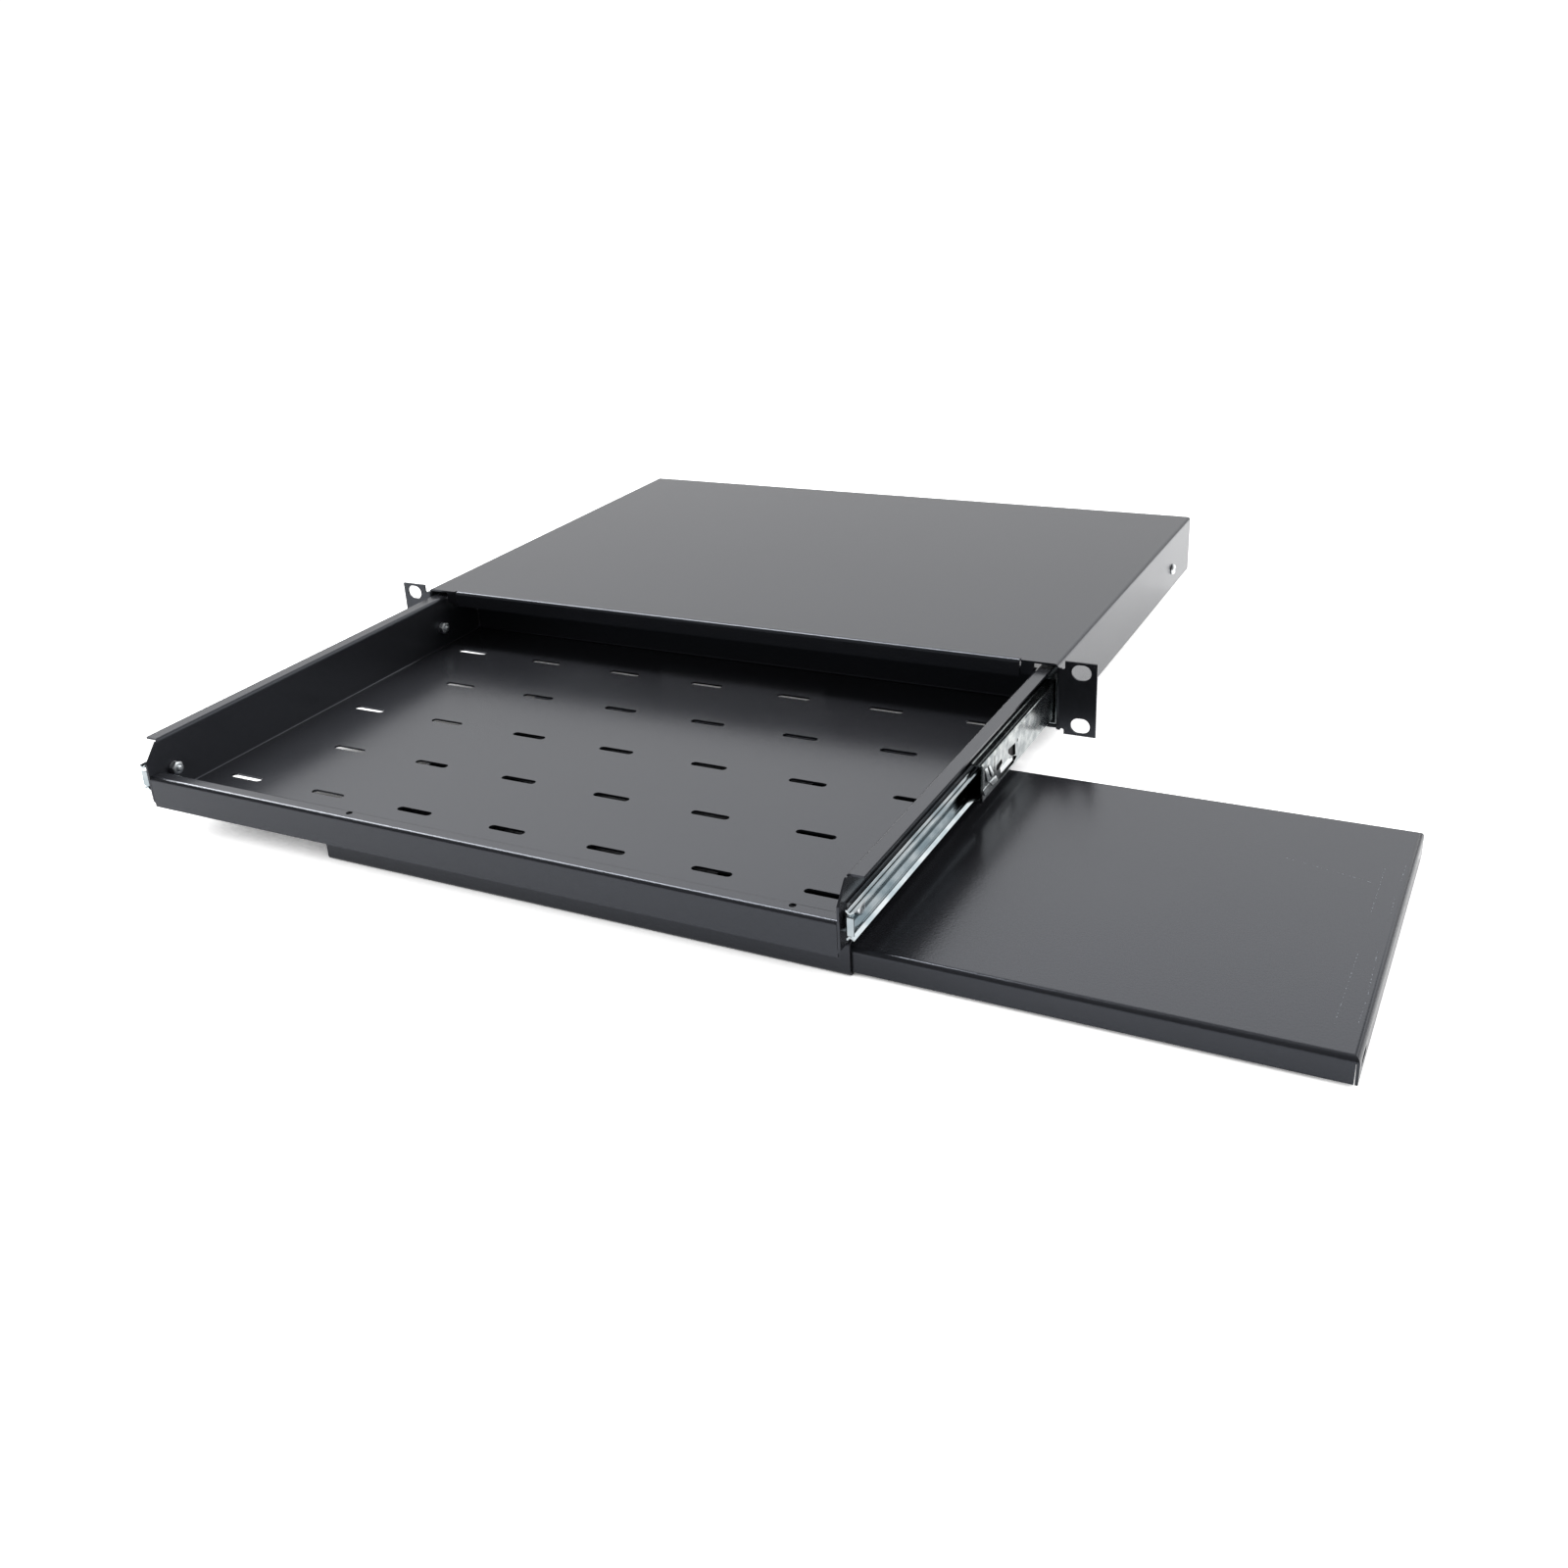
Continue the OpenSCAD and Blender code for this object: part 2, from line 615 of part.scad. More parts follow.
module mouse_sleeve() {
    color(black_powder) difference() {
        union() {
            along_x(sleeve_left, sleeve_right) polygon(sheet([[sleeve_front + sleeve_flange_w, floor_under],
                [sleeve_front, floor_under], [sleeve_front, sleeve_under], [sleeve_rear, sleeve_under],
                [sleeve_rear, floor_under], [sleeve_rear - sleeve_flange_w, floor_under]], sheet_t, fold_r));
            // closed left end
            block([sleeve_left, sleeve_front + sheet_t / 2, sleeve_under + sheet_t / 2],
                [sleeve_left + sheet_t, sleeve_rear - sheet_t / 2, floor_under]);
        }
        for (y = stop_y) translate([stop_x, y, sleeve_under - overrun])
            cylinder(h = sheet_t + 2 * overrun, r = stop_stem_r + stop_stem_gap, $fn = 48);
    }
}

// Nylon pads under the sleeve's flanges, on which the mouse tray runs
module sleeve_glides() {
    ceiling = floor_under - sheet_t;
    color(nylon_white)
        for (i = [0, 1], y = [mouse_front + glide_setback, mouse_rear - glide_setback - glide_w])
            block([sleeve_right - glide_inset - glide_l - i * glide_step, y, mouse_top + glide_gap],
                [sleeve_right - glide_inset - i * glide_step, y + glide_w, ceiling]);
}

// Rubber stops pushed into the sleeve's bottom, which catch the mouse tray's inner edge
module sleeve_stops() {
    inside = sleeve_under + sheet_t;
    color(rubber_black) for (y = stop_y) translate([stop_x, y, 0]) {
        translate([0, 0, inside]) cylinder(h = stop_h, r = stop_r, $fn = 48);
        translate([0, 0, sleeve_under - overrun / 2])
            cylinder(h = sheet_t + overrun, r = stop_stem_r, $fn = 48);
        translate([0, 0, sleeve_under - stop_barb_h]) cylinder(h = stop_barb_h, r = stop_barb_r, $fn = 48);
    }
}

// Filled form of the mouse tray, drawn in by inset on every side but the open lower one
module mouse_form(inset, r, low) {
    left = mouse_left + inset;
    right = mouse_right - inset;
    front = mouse_front + inset;
    rear = mouse_rear - inset;
    top = mouse_top - inset;
    intersection() {
        along_x(left, right) polygon(rounded([[rear, low], [rear, top], [front, top], [front, low]], r, r));
        along_y(front, rear) polygon(rounded([[right, low], [right, top], [left, top], [left, low]], r, r));
    }
}

module mouse_plate() {
    fold_end = mouse_top - sheet_t - mouse_fold_r;
    color(black_powder) difference() {
        mouse_form(0, mouse_fold_r + sheet_t, mouse_under);
        mouse_form(sheet_t, mouse_fold_r, mouse_under - overrun);
        // seams where the folded edges meet at the corners
        for (x = [mouse_left + sheet_t, mouse_right - sheet_t - mouse_seam],
            y = [mouse_front - overrun, mouse_rear - sheet_t - overrun])
            block([x, y, mouse_under - overrun], [x + mouse_seam, y + sheet_t + 2 * overrun, fold_end]);
        // slot in the outer edge
        translate([mouse_right - sheet_t - overrun, mouse_front + grip_slot_setback,
            mouse_top - grip_slot_drop]) rotate([90, 0, 90])
            linear_extrude(sheet_t + 2 * overrun) slot_2d(grip_slot_l, grip_slot_h);
    }
}

chassis_shell();
mirror([1, 0, 0]) outer_rail();  // outer_rail_left
outer_rail();  // outer_rail_right
rail_screws();
rail_buffers();
mirror([1, 0, 0]) middle_rail();  // middle_rail_left
middle_rail();  // middle_rail_right
mirror([1, 0, 0]) inner_rail();  // inner_rail_left
inner_rail();  // inner_rail_right
mirror([1, 0, 0]) outer_cage();  // outer_cage_left
outer_cage();  // outer_cage_right
mirror([1, 0, 0]) inner_cage();  // inner_cage_left
inner_cage();  // inner_cage_right
mirror([1, 0, 0]) outer_balls();  // outer_balls_left
outer_balls();  // outer_balls_right
mirror([1, 0, 0]) inner_balls();  // inner_balls_left
inner_balls();  // inner_balls_right
keyboard_pan();
tray_bolts();
tray_washers();
tray_nuts();
mouse_sleeve();
sleeve_glides();
sleeve_stops();
mouse_plate();
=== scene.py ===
from math import cos, pi, radians, sin, tan

import bmesh
import bpy
from mathutils import Matrix, Vector


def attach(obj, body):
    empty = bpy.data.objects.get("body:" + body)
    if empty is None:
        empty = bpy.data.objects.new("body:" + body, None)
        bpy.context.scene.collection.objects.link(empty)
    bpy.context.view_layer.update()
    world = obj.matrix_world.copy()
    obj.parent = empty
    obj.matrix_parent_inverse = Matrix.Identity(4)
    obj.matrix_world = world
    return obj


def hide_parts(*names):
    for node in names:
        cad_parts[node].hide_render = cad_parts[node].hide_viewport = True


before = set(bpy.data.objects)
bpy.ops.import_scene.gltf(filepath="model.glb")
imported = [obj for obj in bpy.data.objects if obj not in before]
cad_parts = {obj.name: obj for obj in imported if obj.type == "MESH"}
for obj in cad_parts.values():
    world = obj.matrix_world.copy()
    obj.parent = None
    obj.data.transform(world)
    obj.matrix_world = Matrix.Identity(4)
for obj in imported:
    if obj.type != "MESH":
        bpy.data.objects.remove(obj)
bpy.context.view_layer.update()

# Chassis
# The fixed shell of the drawer: one laser-cut sheet of 1.2 mm steel, folded into a low open box with
# two rack ears, and powder-coated satin black all over. The rack's screws go through its ears.

MM = 0.001
BLACK, BLACK_THIN = "#2b2c30", "#303135"
SHEEN = "#e4ebfa"        # the film's gloss is a little blue
PEEL = 1.1 * MM          # crest to crest of the coat's orange peel
PEEL_DEPTH = 0.055 * MM
FILM_WAVE = 70 * MM      # slow waves in the thickness of the coat
CUT_EDGE = 0.28 * MM     # round that the coat gives a cut edge
SAME_POINT = 0.002 * MM  # corners of the CAD's triangles closer than this are one
FLAT_TURN = radians(0.6)    # triangles that turn less than this are one face


def colour(hex_text):
    """Linear colour from an sRGB hex value."""
    parts = [int(hex_text[i:i + 2], 16) / 255 for i in (1, 3, 5)]
    return [p / 12.92 if p <= 0.04045 else ((p + 0.055) / 1.055) ** 2.4 for p in parts] + [1]


def socket(sockets, key):
    return next((s for s in sockets if s.enabled and key in (s.identifier, s.name)), None)


def add(tree, kind, settings=None, links=None):
    """A node with its settings, and with links from other nodes to its inputs."""
    node = tree.nodes.new(kind)
    for key, value in (settings or {}).items():
        if socket(node.inputs, key):
            socket(node.inputs, key).default_value = value
        else:
            setattr(node, key, value)
    for key, source in (links or {}).items():
        if isinstance(source, bpy.types.Node):
            source = next(s for s in source.outputs if s.enabled)
        tree.links.new(source, socket(node.inputs, key))
    return node


def new_material(name):
    material = bpy.data.materials.new(name)
    material.use_nodes = True
    material.node_tree.nodes.clear()
    return material, material.node_tree


def powder_coat(name, gloss=(0.19, 0.26), wear=None):
    """Baked polyester powder coat: a satin film whose fine orange peel breaks up every highlight."""
    material, tree = new_material(name)
    place = add(tree, "ShaderNodeTexCoord").outputs["Object"]
    peel = add(tree, "ShaderNodeTexNoise", {"Scale": 1 / PEEL, "Detail": 1.5, "Roughness": 0.45},
               {"Vector": place})
    film = add(tree, "ShaderNodeTexNoise", {"Scale": 1 / FILM_WAVE, "Detail": 2}, {"Vector": place})
    rough = add(tree, "ShaderNodeMapRange", {"To Min": gloss[0], "To Max": gloss[1]}, {"Value": film})
    paint = add(tree, "ShaderNodeMix", {"data_type": "RGBA", "A": colour(BLACK), "B": colour(BLACK_THIN)},
                {"Factor": film})
    relief = add(tree, "ShaderNodeBump", {"Strength": 1.0, "Distance": PEEL_DEPTH}, {"Height": peel})
    if wear:
        rough, paint = wear(tree, place, rough, paint)
    coat = add(tree, "ShaderNodeBsdfPrincipled", {"IOR": 1.52, "Specular Tint": colour(SHEEN)},
               {"Base Color": paint, "Roughness": rough, "Normal": relief})
    add(tree, "ShaderNodeOutputMaterial", links={"Surface": coat})
    return material


def settle(piece):
    """Applies the piece's modifiers to its mesh."""
    bpy.context.view_layer.update()
    done = bpy.data.meshes.new_from_object(piece.evaluated_get(bpy.context.evaluated_depsgraph_get()))
    piece.modifiers.clear()
    piece.data = done
    return piece


def place_mesh(name, mesh, material=None):
    piece = bpy.data.objects.new(name, mesh)
    bpy.context.scene.collection.objects.link(piece)
    if material:
        mesh.materials.clear()
        mesh.materials.append(material)
    return piece


def round_edges(piece, width, steps=2, sharp=35):
    """Breaks the sharp edges, and keeps the flats flat to the light."""
    piece.data.shade_smooth()
    bevel = piece.modifiers.new("broken edges", "BEVEL")
    bevel.width, bevel.segments = width, steps
    bevel.limit_method, bevel.angle_limit = "ANGLE", radians(sharp)
    flats = piece.modifiers.new("flats", "WEIGHTED_NORMAL")
    flats.weight = 100
    return settle(piece)


def hand_over(piece, body, slot, *nodes):
    """The piece moves with the body and stands for the CAD nodes."""
    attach(piece, body)
    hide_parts(*nodes)


def finished_copy(node, name, material, edge):
    """A copy of a CAD node with its triangles joined into faces and its edges rounded."""
    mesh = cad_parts[node].data.copy()
    net = bmesh.new()
    net.from_mesh(mesh)
    bmesh.ops.remove_doubles(net, verts=net.verts, dist=SAME_POINT)
    bmesh.ops.dissolve_limit(net, angle_limit=FLAT_TURN, verts=net.verts, edges=net.edges)
    net.to_mesh(mesh)
    net.free()
    return round_edges(place_mesh(name, mesh, material), edge)


# a soft, slightly mottled mirror of the room over deep grey
black_coat = powder_coat("satin black powder coat on steel")
chassis = finished_copy("chassis_shell", "chassis_shell_coated", black_coat, CUT_EDGE)
hand_over(chassis, "chassis", "black_powder_coat", "chassis_shell")

# Keyboard tray
# A sheet folded up at both sides, at the rear and into the front lip, with staggered slots in its floor
# that let air and dust through. The same powder coat as the chassis.

pan = finished_copy("keyboard_pan", "keyboard_pan_coated", black_coat, CUT_EDGE)
hand_over(pan, "keyboard_tray", "black_powder_coat", "keyboard_pan")

# Sleeve of the mouse tray
# A folded channel whose flanges are spot-welded under the keyboard tray. The same powder, which came out
# duller on it.

# the same grey with hardly a mirror in it
dull_coat = powder_coat("dull black powder coat on steel", gloss=(0.3, 0.38))
sleeve = finished_copy("mouse_sleeve", "mouse_sleeve_coated", dull_coat, CUT_EDGE)
hand_over(sleeve, "keyboard_tray", "black_powder_coat", "mouse_sleeve")

# Mouse tray
# A sheet with four folded edges that slides out of the sleeve. Its coat carries a few dust specks, and
# broken scratches where its outer end has rubbed against packing.

SCRATCH_W = 0.34 * MM
SCRATCH_STEP = 1.6 * MM  # from one touch of a scratch to the next
TOUCHING = 0.56          # noise above this leaves a mark
SCRATCHES = (((404.9, -96), (404.9, -144)), ((404.8, -177), (404.4, -234)), ((413.2, -88), (412.9, -108)),
             ((412.4, -122), (412.9, -146)), ((411.8, -170), (413.0, -208)), ((413.0, -214), (412.6, -231)),
             ((362, -103), (401, -113)))
SPECK_STEP = 19 * MM
SPECK_R = 0.4 * MM
SPECKS_MISSING = 0.76    # share of the places for a speck that have none
LOW_OF_TOP = -22.6 * MM  # only the tray's top is marked
MARK, MARK_ROUGH = "#8d9299", 0.7


def scratches_and_specks(tree, place, rough, paint):
    """Pale, rough marks: thin scratches broken by noise, and lone specks of dust."""
    touches = add(tree, "ShaderNodeTexNoise", {"Scale": 1 / SCRATCH_STEP, "Detail": 3}, {"Vector": place})
    touching = add(tree, "ShaderNodeMath", {"operation": "GREATER_THAN", "Value_001": TOUCHING},
                   {"Value": touches})
    cells = add(tree, "ShaderNodeTexVoronoi", {"Scale": 1 / SPECK_STEP}, {"Vector": place})
    speck = add(tree, "ShaderNodeMath", {"operation": "LESS_THAN", "Value_001": SPECK_R / SPECK_STEP},
                {"Value": cells.outputs["Distance"]})
    chance = add(tree, "ShaderNodeSeparateColor", {}, {"Color": cells.outputs["Color"]})
    kept = add(tree, "ShaderNodeMath", {"operation": "GREATER_THAN", "Value_001": SPECKS_MISSING},
               {"Value": chance.outputs["Red"]})
    marks = add(tree, "ShaderNodeMath", {"operation": "MULTIPLY"}, {"Value": speck, "Value_001": kept})
    for ends in SCRATCHES:
        start, end = (Vector((x * MM, y * MM, 0)) for x, y in ends)
        middle, along = (start + end) / 2, (end - start).normalized()
        across = Vector((-along.y, along.x, 0))
        scratch = touching
        for way, reach in ((across, SCRATCH_W / 2), (along, (end - start).length / 2)):
            far = add(tree, "ShaderNodeVectorMath", {"operation": "DOT_PRODUCT", "Vector_001": way},
                      {"Vector": place})
            near = add(tree, "ShaderNodeMath", {"operation": "COMPARE", "Value_001": way.dot(middle),
                                                "Value_002": reach}, {"Value": far})
            scratch = add(tree, "ShaderNodeMath", {"operation": "MULTIPLY"},
                          {"Value": scratch, "Value_001": near})
        marks = add(tree, "ShaderNodeMath", {"operation": "MAXIMUM"}, {"Value": marks, "Value_001": scratch})
    height = add(tree, "ShaderNodeSeparateXYZ", {}, {"Vector": place}).outputs["Z"]
    on_top = add(tree, "ShaderNodeMath", {"operation": "GREATER_THAN", "Value_001": LOW_OF_TOP},
                 {"Value": height})
    marks = add(tree, "ShaderNodeMath", {"operation": "MULTIPLY"}, {"Value": marks, "Value_001": on_top})
    rough = add(tree, "ShaderNodeMix", {"data_type": "FLOAT", "B": MARK_ROUGH}, {"Factor": marks, "A": rough})
    paint = add(tree, "ShaderNodeMix", {"data_type": "RGBA", "B": colour(MARK)},
                {"Factor": marks, "A": paint})
    return rough, paint


handled_coat = powder_coat("satin black powder coat, handled", wear=scratches_and_specks)
mouse = finished_copy("mouse_plate", "mouse_plate_coated", handled_coat, CUT_EDGE)
hand_over(mouse, "mouse_tray", "black_powder_coat", "mouse_plate")

# Outer rails
# The fixed member of each slide: a C of 1 mm cold-rolled strip, roll-formed and zinc-plated, screwed to
# the chassis side. Its edges are grooved races for the outer balls.

# the lines that the forming rolls leave along a rail: how far apart, how long and how deep
ROLL_LINE, ROLL_RUN, ROLL_DEPTH = 0.9 * MM, 45 * MM, 0.003 * MM
ZINC_CLOUD = 14 * MM
BEND_SHARE = 0.46        # most of an edge that the bend at one of its ends takes
RAIL_EDGE = 0.14 * MM
# From here to the screws, places on the slides are in mm, with Z from their middle line.
SLIDE_Z = -4.3
OUTER_EDGE = ((217.7, 13.6), (215.2, 13.6), (213.4, 13.35), (211.6, 13.6), (210.3, 13.45), (210.3, 12.7))
OUTER_T, OUTER_Y = 1.0, (3.5, 303.5)
OUTER_WEB_X = (216, 219)     # X planes on both sides of the web, to cut through it
SCREW_Y = (31, 258)
HOLE_R = 1.9


def zinc_plating(name, lines=(1 / ROLL_LINE, 1 / ROLL_RUN, 1 / ROLL_LINE), tints=("#b8bdbf", "#97a2a7"),
                 rough_range=(0.07, 0.15), depth=ROLL_DEPTH, cloud_size=ZINC_CLOUD):
    """Bright zinc: bluish metal, a little cloudy, with the fine lines that its making leaves."""
    material, tree = new_material(name)
    place = add(tree, "ShaderNodeTexCoord").outputs["Object"]
    stretched = add(tree, "ShaderNodeMapping", {"Scale": lines}, {"Vector": place})
    streak = add(tree, "ShaderNodeTexNoise", {"Scale": 1.0, "Detail": 3}, {"Vector": stretched})
    cloud = add(tree, "ShaderNodeTexNoise", {"Scale": 1 / cloud_size, "Detail": 2}, {"Vector": place})
    cloud = add(tree, "ShaderNodeMapRange", {"From Min": 0.35, "From Max": 0.65}, {"Value": cloud})
    tint = add(tree, "ShaderNodeMix", {"data_type": "RGBA", "A": colour(tints[0]), "B": colour(tints[1])},
               {"Factor": cloud})
    rough = add(tree, "ShaderNodeMapRange", {"To Min": rough_range[0], "To Max": rough_range[1]},
                {"Value": streak})
    relief = add(tree, "ShaderNodeBump", {"Strength": 1.0, "Distance": depth}, {"Height": streak})
    metal = add(tree, "ShaderNodeBsdfPrincipled", {"Metallic": 1.0},
                {"Base Color": tint, "Roughness": rough, "Normal": relief})
    add(tree, "ShaderNodeOutputMaterial", links={"Surface": metal})
    return material


def bent_line(path, fold, steps=5):
    """Points along a path of sharp corners with each corner made round."""
    line = [Vector(path[0])]
    for before, at, after in zip(path, path[1:], path[2:]):
        before, at, after = Vector(before), Vector(at), Vector(after)
        back, on = (before - at), (after - at)
        reach = min(fold / tan(back.angle(on) / 2), BEND_SHARE * back.length, BEND_SHARE * on.length)
        start, end = at + back.normalized() * reach, at + on.normalized() * reach
        line += [(1 - s) ** 2 * start + 2 * s * (1 - s) * at + s ** 2 * end
                 for s in [i / steps for i in range(steps + 1)]]
    return line + [Vector(path[-1])]


def strip_into(net, path, thickness, reach, side, fold=0.8, upright=False):
    """A bent strip of sheet: on an X-Z path and reaching along Y, or upright on an X-Y path."""
    line = bent_line(path, fold)
    rows = []
    for i, at in enumerate(line):
        way = (line[min(i + 1, len(line) - 1)] - line[max(i - 1, 0)]).normalized()
        across = Vector((-way.y, way.x)) * thickness / 2
        row = [(p.x, p.y, far) if upright else (p.x, far, p.y)
               for far in reach for p in (at + across, at - across)]
        rows.append([net.verts.new((x * side * MM, y * MM, (z + SLIDE_Z) * MM)) for x, y, z in row])
    for a, b in zip(rows, rows[1:]):
        for p, q in ((0, 1), (1, 3), (3, 2), (2, 0)):
            net.faces.new([a[p], a[q], b[q], b[p]])
    for end in (rows[0], rows[-1]):
        net.faces.new([end[0], end[1], end[3], end[2]])


def plate_into(net, outline, x_range, side, proud=0.0):
    """A flat plate with a Y-Z outline, between two X planes. Its outer face may lean, to stand proud at
    its lower edge."""
    low, top = min(z for _, z in outline), max(z for _, z in outline)
    rings = [[net.verts.new(((x + out * proud * (top - z) / (top - low)) * side * MM, y * MM,
                             (z + SLIDE_Z) * MM)) for y, z in outline] for out, x in enumerate(x_range)]
    for ring in rings:
        net.faces.new(ring)
    for i in range(len(outline)):
        j = (i + 1) % len(outline)
        net.faces.new([rings[0][i], rings[0][j], rings[1][j], rings[1][i]])


def disc(y, z, r, steps=28):
    return [(y + r * cos(2 * pi * i / steps), z + r * sin(2 * pi * i / steps)) for i in range(steps)]


def turned_over(edge):
    """The path of a C: its lower edge, a mirror of the upper one, and then the upper one."""
    return [(x, -z) for x, z in reversed(edge)] + list(edge)


def mesh_from(name, build):
    """A mesh from a function that fills a bmesh, with its faces turned outwards."""
    net = bmesh.new()
    build(net)
    bmesh.ops.recalc_face_normals(net, faces=net.faces)
    mesh = bpy.data.meshes.new(name)
    net.to_mesh(mesh)
    net.free()
    return mesh


def cut(piece, build, operation="DIFFERENCE"):
    """The piece less what the function fills, or only what lies in both."""
    cutter = place_mesh("cutter", mesh_from("cutter", build))
    saw = piece.modifiers.new("cut", "BOOLEAN")
    saw.object, saw.solver, saw.operation, saw.use_self = cutter, "EXACT", operation, True
    settle(piece)
    bpy.data.objects.remove(cutter)
    return piece


# a cool, bright mirror drawn out along the rail
zinc = zinc_plating("bright zinc plating on rolled strip")
SIDES = (("left", -1), ("right", 1))
for word, side in SIDES:
    rail = place_mesh("outer_rail_%s_rolled" % word, mesh_from("outer_rail", lambda net: strip_into(
        net, turned_over(OUTER_EDGE), OUTER_T, OUTER_Y, side)), zinc)
    cut(rail, lambda net: [plate_into(net, disc(y, 0, HOLE_R), OUTER_WEB_X, side) for y in SCREW_Y])
    round_edges(rail, RAIL_EDGE)
    hand_over(rail, "chassis", "zinc_plate", "outer_rail_%s" % word)

# Middle rails
# The middle member of each slide: a C with a groove rolled into each edge, for the outer balls outside
# and the inner balls inside. Near its front a latch is pierced and bent out of the web, which holds the
# tray open until it is pressed.

MIDDLE_EDGE = ((215.85, 9.95), (214.9, 9.95), (213.6, 9.5), (212.2, 9.8), (210.75, 10.0), (210.5, 10.9))
MIDDLE_T, MIDDLE_Y = 0.9, (-113, 149)
MIDDLE_WEB_X = (215, 217)
LATCH_HOLES = (((-105.4, 6.9), (-104.4, 6.9), (-101.0, -2.6), (-102.2, -2.6)),
               ((-92.8, -0.4), (-92.4, 1.6), (-84.3, 2.0), (-83.2, -0.7), (-90.4, -2.4)),
               ((-74.2, 0.8), (-74.2, 3.0), (-63.0, 2.1), (-62.4, -4.8), (-66.4, -3.7), (-68.7, -3.0)),
               ((-67.9, -5.4), (-66.6, -3.6), (-60.0, -6.7), (-64.1, -8.1)),
               ((-89.0, -5.9), (-87.3, -8.5), (-64.0, -8.5), (-66.8, -6.1)))
LATCH_BARS = (((-112.6, -3.6), (-107.4, -3.3), (-104.4, -6.6), (-111.1, -7.2)),
              ((-102.6, -3.4), (-93.1, -3.6), (-91.4, -7.0), (-99.4, -6.6)),
              ((-109.6, 6.4), (-106.0, 6.4), (-102.4, -1.6), (-106.6, -1.9)),
              ((-103.8, 5.6), (-101.2, 5.6), (-97.4, -1.2), (-100.4, -1.4)))
LATCH_TONGUE = ((-87, -5.4), (-87, -2.6), (-75.2, -2.0), (-67.8, -4.0), (-68.6, -5.6))
LATCH_X, BAR_PROUD, TONGUE_PROUD, LATCH_EDGE = (215.9, 216.4), 0.6, 0.4, 0.2 * MM
LATCH_RECESS, RECESS_X = ((-110, -4.0), (-110, 8.2), (-94.6, 8.2), (-94.6, -4.0)), (216.1, 217)
LATCH_PIN_HOLE = disc(-59.4, 2.2, 0.9)
# the spring plate closes the latch's holes from behind; its near-black is painted shade that makes the holes
# look deep
LATCH_SPRING = ((-111, -8.4), (-111, 5), (-96, 8.4), (-58, 8.4), (-56, -2), (-60, -8.4))
SPRING_X, SPRING_EDGE = (214.97, 215.33), 0.06 * MM
SMALL_CLOUD = 7 * MM

# zinc in smaller clouds of a paler and a darker tint, and rougher
cloudy_zinc = zinc_plating("bright zinc plating, cloudy", tints=("#c2c6c5", "#8e9597"),
                            rough_range=(0.16, 0.3), cloud_size=SMALL_CLOUD)
# zinc painted paler than the web, a painted highlight on the latch's bars and tongue
pale_zinc_painted_highlight = zinc_plating("bright zinc, painted highlight", tints=("#dfe2e2", "#c9cfd1"), rough_range=(0.14, 0.22))
# a dull near-black, painted shade that makes the holes in front of it look deep
near_black_painted_shade = zinc_plating("near-black painted shade on the latch's spring", tints=("#101112", "#1a1b1c"),
                     rough_range=(0.4, 0.55))
for word, side in SIDES:
    rail = place_mesh("middle_rail_%s_rolled" % word, mesh_from("middle_rail", lambda net: strip_into(
        net, turned_over(MIDDLE_EDGE), MIDDLE_T, MIDDLE_Y, side)), cloudy_zinc)
    cut(rail, lambda net: [plate_into(net, hole, MIDDLE_WEB_X, side)
                           for hole in LATCH_HOLES + (LATCH_PIN_HOLE,)])
    cut(rail, lambda net: plate_into(net, LATCH_RECESS, RECESS_X, side))
    round_edges(rail, RAIL_EDGE)
    # the latch's bars and tongue take the pale zinc, a painted highlight
    latch = place_mesh("latch_%s" % word, mesh_from("latch", lambda net: [
        plate_into(net, bar, LATCH_X, side, proud=BAR_PROUD) for bar in LATCH_BARS]
        + [plate_into(net, LATCH_TONGUE, LATCH_X, side, proud=TONGUE_PROUD)]), pale_zinc_painted_highlight)
    round_edges(latch, LATCH_EDGE, steps=3)
    spring = place_mesh("latch_spring_%s" % word, mesh_from(
        "spring", lambda net: plate_into(net, LATCH_SPRING, SPRING_X, side)), near_black_painted_shade)
    round_edges(spring, SPRING_EDGE)
    hand_over(rail, "middle_%s" % word, "zinc_plate", "middle_rail_%s" % word)
    for piece in (latch, spring):
        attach(piece, "middle_%s" % word)

# Inner rails
# The member bolted to each tray wall: a C that opens outwards, its edges crowned and grooved as races
# for the inner balls, with a tab bent across its front end.

INNER_EDGE = ((208.2, 7.0), (210.5, 6.95), (211.2, 5.9), (212.2, 5.9), (213.85, 6.95))
INNER_T, INNER_FOLD, INNER_Y = 0.9, 0.45, (-265.2, 34.5)
INNER_WEB_X = (207, 210)
WEB_CUT_BACK = ((-267, -9), (-267, 9), (-259, 9), (-259, -9))    # makes room for the tab
BOLT_Y = (-249, -8)
TAB_PATH = ((208.2, -256), (208.4, -259.5), (210.4, -265.0), (213.7, -264.95))
TAB_Z = (-5.2, 4.0)
TAB_T, TAB_FOLD, TAB_EDGE = 0.9, 0.9, 0.25 * MM

for word, side in SIDES:
    rail = place_mesh("inner_rail_%s_rolled" % word, mesh_from("inner_rail", lambda net: strip_into(
        net, turned_over(INNER_EDGE), INNER_T, INNER_Y, side, INNER_FOLD)), zinc)
    cut(rail, lambda net: [plate_into(net, disc(y, 0, HOLE_R), INNER_WEB_X, side) for y in BOLT_Y])
    cut(rail, lambda net: plate_into(net, WEB_CUT_BACK, INNER_WEB_X, side))
    round_edges(rail, RAIL_EDGE)
    tab = place_mesh("inner_rail_%s_tab" % word, mesh_from(
        "tab", lambda net: strip_into(net, TAB_PATH, TAB_T, TAB_Z, side, TAB_FOLD, upright=True)), zinc)
    round_edges(tab, TAB_EDGE, steps=3)
    hand_over(rail, "keyboard_tray", "zinc_plate", "inner_rail_%s" % word)
    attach(tab, "keyboard_tray")

# Ball cages and balls
# Each cage is a pressed strip of plain steel that keeps a row of ground, hardened balls apart above and
# below. The cages keep the CAD's form, and rounder balls take the place of its own.

BALL_R, BALL_COUNT, BALL_STEP = 1.2, 9, 13
